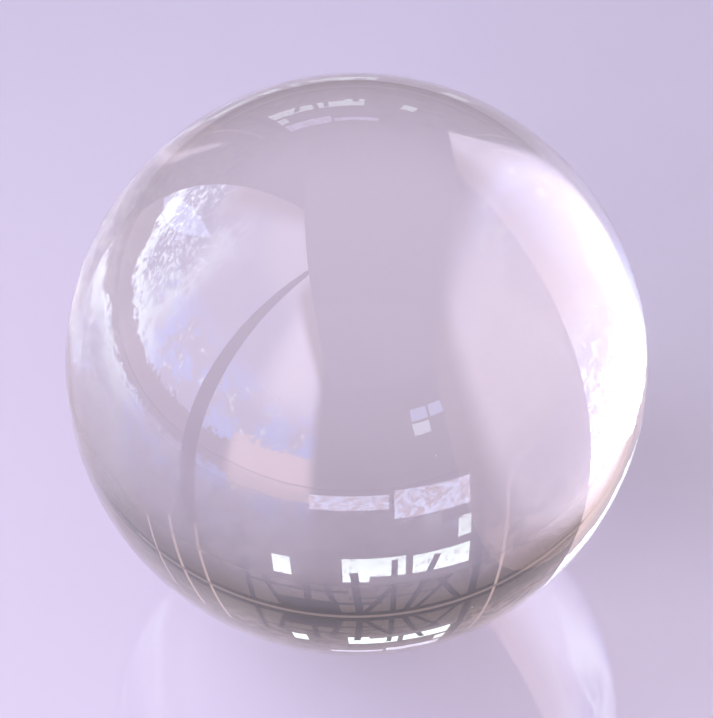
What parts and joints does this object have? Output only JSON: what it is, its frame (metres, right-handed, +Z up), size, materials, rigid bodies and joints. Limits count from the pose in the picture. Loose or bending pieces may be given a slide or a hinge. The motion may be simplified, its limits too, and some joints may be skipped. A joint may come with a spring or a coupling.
{
  "type": "crystal ball",
  "caption": "Solid clear glass ball, ground and polished all over, with no stand, bore or flat.",
  "frame": {"origin": "the point that the ball rests on, straight below its centre", "axes": "+Z up through the centre; a ball has no front, so X and Y are any two level directions"},
  "size_m": [0.1, 0.1, 0.1],
  "materials": {
    "clear_glass": "polished, water clear"
  },
  "bodies": {
    "root": {"ball": "clear_glass"}
  },
  "joints": []
}
